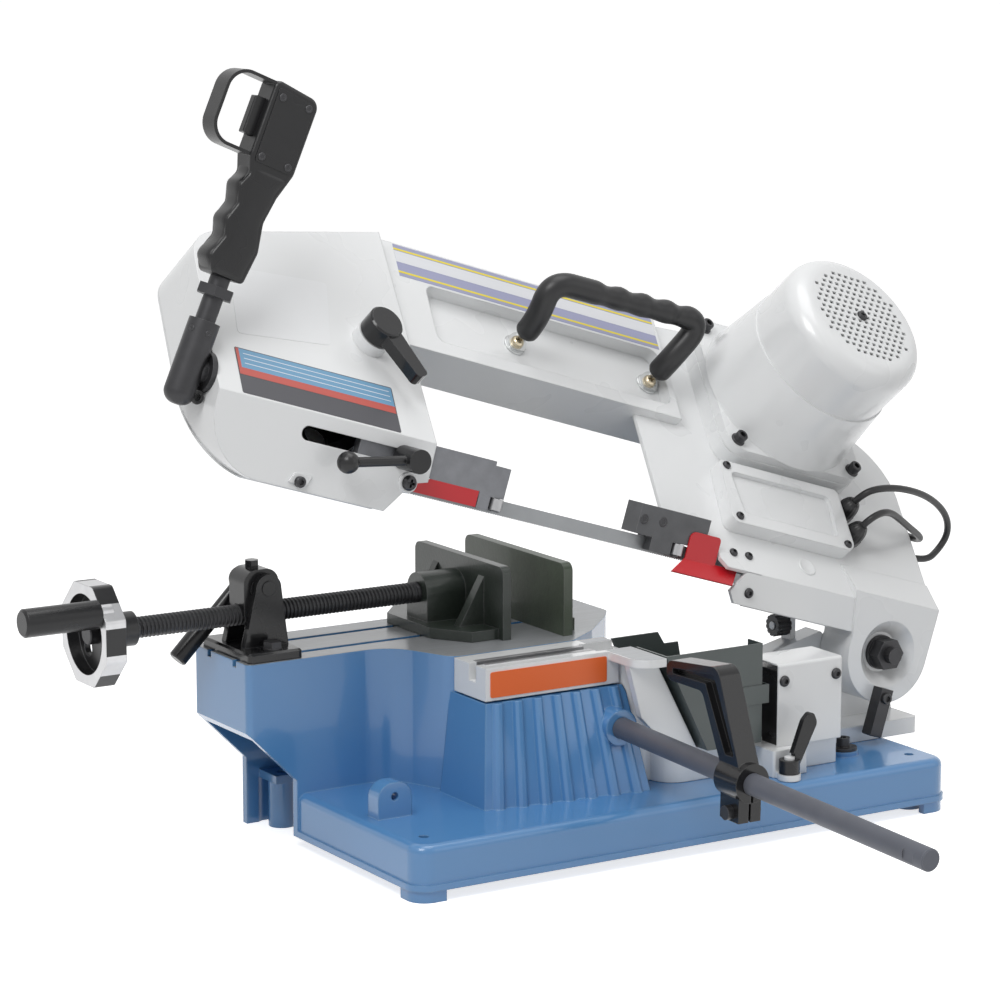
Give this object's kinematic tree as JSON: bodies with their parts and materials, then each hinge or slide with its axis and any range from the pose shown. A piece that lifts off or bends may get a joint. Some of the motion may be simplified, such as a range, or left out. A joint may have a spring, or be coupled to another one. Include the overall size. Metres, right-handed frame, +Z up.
{
  "type": "metal cutting band saw",
  "caption": "Bench-top metal cutting band saw with a tilted bow, swivelling base, quick-release screw vise, chip bin and length stop.",
  "frame": {"origin": "middle of the four bench bolts, on the bench top", "axes": "+X along the blade towards the motor, +Y to the back, +Z up"},
  "size_m": [0.9987, 0.732, 0.7278],
  "materials": {
    "blue_paint": "glossy paint",
    "white_paint": "glossy paint",
    "bright_steel": "machined",
    "black_iron": "black enamel",
    "jaw_iron": "dark enamel",
    "dark_steel": "blackened",
    "wheel_metal": "turned rim on black spokes",
    "black_plastic": "satin",
    "black_rubber": "matt",
    "orange_panel": "printed plain",
    "bin_paint": "satin paint",
    "red_paint": "satin paint",
    "guide_iron": "as cast",
    "blade_steel": "ground"
  },
  "bodies": {
    "base": {"base_casting": "blue_paint", "base_bolts": "bright_steel", "fixed_jaw": "jaw_iron", "screw_bracket": "black_iron", "stop_rod": "dark_steel"},
    "jaw": {"moving_jaw": "jaw_iron"},
    "screw": {"vise_screw": "dark_steel", "handwheel": "wheel_metal"},
    "crank": {"crank_handle": "black_plastic"},
    "nut": {"half_nut": "black_iron"},
    "release": {"release_lever": "black_iron", "release_grip": "black_plastic"},
    "stop": {"stop_arm": "black_iron", "stop_bolt": "dark_steel"},
    "swivel": {"swivel_casting": "white_paint", "swivel_pin": "bright_steel", "trough_panel": "orange_panel", "control_box": "black_plastic", "electric_cover": "white_paint", "pivot_shaft": "bright_steel", "pivot_nut": "dark_steel"},
    "bin": {"chip_bin": "bin_paint"},
    "swivel_lock": {"lock_lever": "black_plastic"},
    "knob": {"feed_knob": "black_plastic"},
    "bow": {"idler_housing": "white_paint", "bow_beam": "white_paint", "drive_housing": "white_paint", "blade_cover": "white_paint", "junction_cover": "white_paint", "drive_axle": "bright_steel", "gear_plate": "black_iron", "motor_body": "white_paint", "stator": "dark_steel", "fan_cover": "white_paint", "motor_bolts": "dark_steel", "right_guide_block": "guide_iron", "right_guard": "red_paint", "carry_handle": "black_rubber", "handle_rods": "bright_steel", "upper_stop_bar": "dark_steel", "cable_glands": "black_plastic", "motor_cable_upper": "black_rubber", "motor_cable_lower": "black_rubber", "handle_elbow": "dark_steel", "switch_grip": "black_plastic", "saw_blade": "blade_steel"},
    "drive": {"drive_wheel": "black_iron"},
    "middle": {"middle_gear": "dark_steel"},
    "motor": {"rotor": "dark_steel"},
    "slide": {"tension_slide": "black_iron"},
    "idler": {"idler_wheel": "black_iron"},
    "tension": {"tension_lever": "black_iron"},
    "arm": {"guide_arm": "guide_iron", "left_guard": "red_paint"},
    "guide_lock": {"guide_lock_lever": "black_plastic"},
    "roller_lf": {"left_front_roller": "bright_steel"},
    "roller_lr": {"left_rear_roller": "bright_steel"},
    "roller_rf": {"right_front_roller": "bright_steel"},
    "roller_rr": {"right_rear_roller": "bright_steel"},
    "trigger": {"trigger": "black_plastic"}
  },
  "joints": [
    {"name": "screw_turn", "type": "hinge", "parent": "jaw", "child": "screw", "pos_m": [-0.15, 0.103, 0.2165], "axis": [1, 0, 0], "range_deg": [-5850, 4320]},
    {"name": "jaw_slide", "type": "slide", "parent": "base", "child": "jaw", "axis": [1, 0, 0], "range_m": [-0.065, 0.048]},
    {"name": "crank_spin", "type": "hinge", "parent": "screw", "child": "crank", "pos_m": [-0.5, 0.07227, 0.24051], "axis": [1, 0, 0], "continuous": true},
    {"name": "release_turn", "type": "hinge", "parent": "base", "child": "release", "pos_m": [-0.312, 0.103, 0.243], "axis": [0, 1, 0], "range_deg": [0, 60]},
    {"name": "nut_lift", "type": "slide", "parent": "base", "child": "nut", "axis": [0, 0, 1], "range_m": [0, 0.004]},
    {"name": "stop_slide", "type": "slide", "parent": "base", "child": "stop", "axis": [0, -0.9995, -0.0332], "range_m": [-0.04, 0.18]},
    {"name": "swivel_turn", "type": "hinge", "parent": "base", "child": "swivel", "pos_m": [0, -0.05, 0.0523], "axis": [0, 0, 1], "range_deg": [0, 45]},
    {"name": "bin_slide", "type": "slide", "parent": "swivel", "child": "bin", "axis": [0, -1, 0], "range_m": [0, 0.09]},
    {"name": "swivel_lock_turn", "type": "hinge", "parent": "swivel", "child": "swivel_lock", "pos_m": [0.118, -0.147, 0.06], "axis": [0, 0, 1], "range_deg": [-45, 30]},
    {"name": "knob_turn", "type": "hinge", "parent": "swivel", "child": "knob", "pos_m": [0.203, -0.012, 0.166], "axis": [1, 0, 0], "continuous": true},
    {"name": "bow_lift", "type": "hinge", "parent": "swivel", "child": "bow", "pos_m": [0.29, -0.05, 0.138], "axis": [0, 1, 0], "range_deg": [-18.1, 14]},
    {"name": "drive_spin", "type": "hinge", "parent": "bow", "child": "drive", "pos_m": [0.2734, 0.01364, 0.25958], "axis": [0.2103, -0.7071, 0.6751], "continuous": true},
    {"name": "middle_spin", "type": "hinge", "parent": "bow", "child": "middle", "pos_m": [0.2628, 0.05432, 0.30549], "axis": [0.2103, -0.7071, 0.6751], "continuous": true},
    {"name": "motor_spin", "type": "hinge", "parent": "bow", "child": "motor", "pos_m": [0.25601, 0.04687, 0.38868], "axis": [0.2103, -0.7071, 0.6751], "continuous": true},
    {"name": "tension_turn", "type": "hinge", "parent": "bow", "child": "tension", "pos_m": [-0.24123, -0.00545, 0.48874], "axis": [0.2103, -0.7071, 0.6751], "range_deg": [-69, 0]},
    {"name": "idler_slide", "type": "slide", "parent": "bow", "child": "slide", "axis": [0.9548, 0, -0.2974], "range_m": [0, 0.004]},
    {"name": "idler_spin", "type": "hinge", "parent": "slide", "child": "idler", "pos_m": [-0.33382, 0.01364, 0.44871], "axis": [0.2103, -0.7071, 0.6751], "continuous": true},
    {"name": "arm_slide", "type": "slide", "parent": "bow", "child": "arm", "axis": [0.9548, 0, -0.2974], "range_m": [-0.06, 0]},
    {"name": "guide_lock_turn", "type": "hinge", "parent": "arm", "child": "guide_lock", "pos_m": [-0.2522, -0.08, 0.38124], "axis": [0, 1, 0], "range_deg": [-40, 40]},
    {"name": "roller_lf_spin", "type": "hinge", "parent": "arm", "child": "roller_lf", "pos_m": [-0.15151, -0.05725, 0.32788], "axis": [0.2974, 0, 0.9548], "continuous": true},
    {"name": "roller_lr_spin", "type": "hinge", "parent": "arm", "child": "roller_lr", "pos_m": [-0.15151, -0.04275, 0.32788], "axis": [0.2974, 0, 0.9548], "continuous": true},
    {"name": "roller_rf_spin", "type": "hinge", "parent": "bow", "child": "roller_rf", "pos_m": [0.04899, -0.05725, 0.26543], "axis": [0.2974, 0, 0.9548], "continuous": true},
    {"name": "roller_rr_spin", "type": "hinge", "parent": "bow", "child": "roller_rr", "pos_m": [0.04899, -0.04275, 0.26543], "axis": [0.2974, 0, 0.9548], "continuous": true},
    {"name": "trigger_press", "type": "slide", "parent": "bow", "child": "trigger", "axis": [0.9184, 0, -0.3955], "range_m": [0, 0.005], "stiffness_N_per_m": 300, "springref_m": -0.002}
  ],
  "couplings": [
    {"joint": "jaw_slide", "follows": "screw_turn", "m_per_rad": 0.00063662},
    {"joint": "nut_lift", "follows": "release_turn", "m_per_rad": 0.0038},
    {"joint": "idler_slide", "follows": "tension_turn", "m_per_rad": -0.0033},
    {"joint": "middle_spin", "follows": "motor_spin", "ratio": -0.21875},
    {"joint": "drive_spin", "follows": "motor_spin", "ratio": 0.048254},
    {"joint": "idler_spin", "follows": "motor_spin", "ratio": 0.048254},
    {"joint": "roller_lf_spin", "follows": "motor_spin", "ratio": -0.66813},
    {"joint": "roller_lr_spin", "follows": "motor_spin", "ratio": 0.66813},
    {"joint": "roller_rf_spin", "follows": "motor_spin", "ratio": -0.66813},
    {"joint": "roller_rr_spin", "follows": "motor_spin", "ratio": 0.66813}
  ]
}
